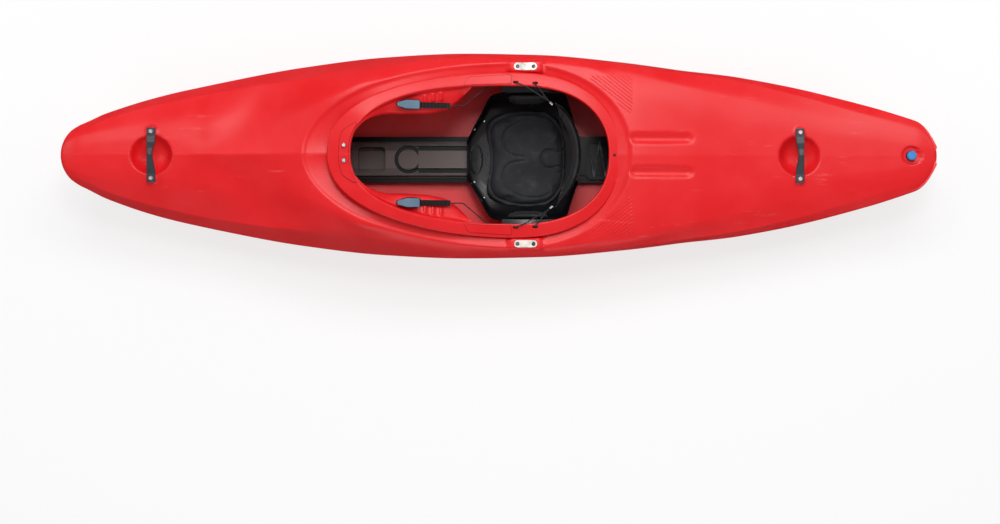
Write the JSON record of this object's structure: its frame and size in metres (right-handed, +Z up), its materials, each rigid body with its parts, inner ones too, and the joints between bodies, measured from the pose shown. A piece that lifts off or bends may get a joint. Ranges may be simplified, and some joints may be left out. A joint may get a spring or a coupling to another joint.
{
  "type": "whitewater kayak",
  "caption": "Short decked kayak with an oval cockpit rim, moulded seat, folding backrest, sliding footrest, ratchet straps, grab handles and a screw drain plug.",
  "frame": {"origin": "on the ground under the middle of the hull, where its flat bottom stands", "axes": "+X aft along the boat, +Z up, +Y to starboard; the bow points along -X"},
  "size_m": [2.5794, 0.6098, 0.3846],
  "materials": {
    "aluminium": "mill finish",
    "black_plastic": "matte moulded",
    "blue_plastic": "satin moulded",
    "cord": "braided",
    "foam": "closed-cell foam, matte",
    "grey_blue_plastic": "satin moulded",
    "grey_plastic": "matte moulded",
    "pad_fabric": "woven cover, matte",
    "red_plastic": "satin moulded skin",
    "rubber": "matte",
    "steel": "brushed"
  },
  "bodies": {
    "boat": {"backrest_cord_port": "cord", "backrest_cord_starboard": "cord", "bow_grab_handle": "grey_plastic", "bow_handle_bolt_port": "steel", "bow_handle_bolt_starboard": "steel", "bow_pillar": "foam", "centre_rail": "grey_plastic", "drain_sleeve": "black_plastic", "footrest_bolt_port": "steel", "footrest_bolt_starboard": "steel", "footrest_knob_port": "black_plastic", "footrest_knob_starboard": "black_plastic", "footrest_spacer_port": "black_plastic", "footrest_spacer_starboard": "black_plastic", "front_rim_plate": "red_plastic", "hull_shell": "red_plastic", "ratchet_frame_port": "black_plastic", "ratchet_frame_starboard": "black_plastic", "ratchet_pin_port": "steel", "ratchet_pin_starboard": "steel", "rear_cradle": "black_plastic", "rear_lacing": "cord", "rim_panel_port": "red_plastic", "rim_panel_starboard": "red_plastic", "rim_plate_bolt_port": "steel", "rim_plate_bolt_starboard": "steel", "side_bolt_port_front": "steel", "side_bolt_port_rear": "steel", "side_bolt_starboard_front": "steel", "side_bolt_starboard_rear": "steel", "side_plate_port": "steel", "side_plate_starboard": "steel", "stern_grab_handle": "grey_plastic", "stern_handle_bolt_port": "steel", "stern_handle_bolt_starboard": "steel", "stern_pillar": "foam", "thigh_brace_port": "red_plastic", "thigh_brace_starboard": "red_plastic"},
    "seat": {"backrest_pin_port": "steel", "backrest_pin_starboard": "steel", "hip_pad_port": "pad_fabric", "hip_pad_starboard": "pad_fabric", "seat_pad": "pad_fabric", "seat_pan": "black_plastic"},
    "backrest": {"backrest_pad": "pad_fabric", "backrest_shell": "black_plastic", "cord_crimp_port": "black_plastic", "cord_crimp_starboard": "black_plastic"},
    "footrest": {"footrest_bar_port": "aluminium", "footrest_bar_starboard": "aluminium", "footrest_foam": "foam", "footrest_plate": "aluminium"},
    "drain_lift": {"drain_gasket": "rubber"},
    "drain_screw": {"drain_plug": "blue_plastic"},
    "lever_port": {"ratchet_lever_port": "grey_blue_plastic"},
    "pawl_port": {"ratchet_pawl_port": "black_plastic"},
    "strap_port": {"ladder_strap_port": "black_plastic"},
    "lever_starboard": {"ratchet_lever_starboard": "grey_blue_plastic"},
    "pawl_starboard": {"ratchet_pawl_starboard": "black_plastic"},
    "strap_starboard": {"ladder_strap_starboard": "black_plastic"}
  },
  "joints": [
    {"name": "seat_slide", "type": "slide", "parent": "boat", "child": "seat", "axis": [1, 0, 0], "range_m": [-0.025, 0.02], "deforming": ["backrest_cord_port", "backrest_cord_starboard"]},
    {"name": "backrest_fold", "type": "hinge", "parent": "seat", "child": "backrest", "pos_m": [0.226, 0, 0.148], "axis": [0, 1, 0], "range_deg": [-50, 6], "deforming": ["backrest_cord_port", "backrest_cord_starboard"]},
    {"name": "footrest_slide", "type": "slide", "parent": "boat", "child": "footrest", "axis": [1, 0, 0], "range_m": [-0.028, 0.024]},
    {"name": "drain_cap_lift", "type": "slide", "parent": "boat", "child": "drain_lift", "axis": [0, 0, 1], "range_m": [0, 0.014]},
    {"name": "drain_plug_turn", "type": "hinge", "parent": "drain_lift", "child": "drain_screw", "pos_m": [1.213, 0, 0.25], "axis": [0, 0, 1], "range_deg": [0, 1680]},
    {"name": "lever_port_hinge", "type": "hinge", "parent": "boat", "child": "lever_port", "pos_m": [-0.24186, -0.14198, 0.32985], "axis": [0, 1, 0], "range_deg": [0, 70], "stiffness_Nm_per_rad": 0.02},
    {"name": "pawl_port_hinge", "type": "hinge", "parent": "boat", "child": "pawl_port", "pos_m": [-0.26266, -0.14198, 0.33343], "axis": [0, 1, 0], "range_deg": [-12, 0], "stiffness_Nm_per_rad": 0.01},
    {"name": "strap_port_slide", "type": "slide", "parent": "boat", "child": "strap_port", "axis": [0.965, 0, -0.2621], "range_m": [-0.004, 0.03], "deforming": ["backrest_cord_port"]},
    {"name": "lever_starboard_hinge", "type": "hinge", "parent": "boat", "child": "lever_starboard", "pos_m": [-0.24186, 0.14198, 0.32985], "axis": [0, 1, 0], "range_deg": [0, 70], "stiffness_Nm_per_rad": 0.02},
    {"name": "pawl_starboard_hinge", "type": "hinge", "parent": "boat", "child": "pawl_starboard", "pos_m": [-0.26266, 0.14198, 0.33343], "axis": [0, 1, 0], "range_deg": [-12, 0], "stiffness_Nm_per_rad": 0.01},
    {"name": "strap_starboard_slide", "type": "slide", "parent": "boat", "child": "strap_starboard", "axis": [0.965, 0, -0.2621], "range_m": [-0.004, 0.03], "deforming": ["backrest_cord_starboard"]}
  ],
  "couplings": [
    {"joint": "drain_plug_turn", "follows": "drain_cap_lift", "rad_per_m": 2094}
  ]
}
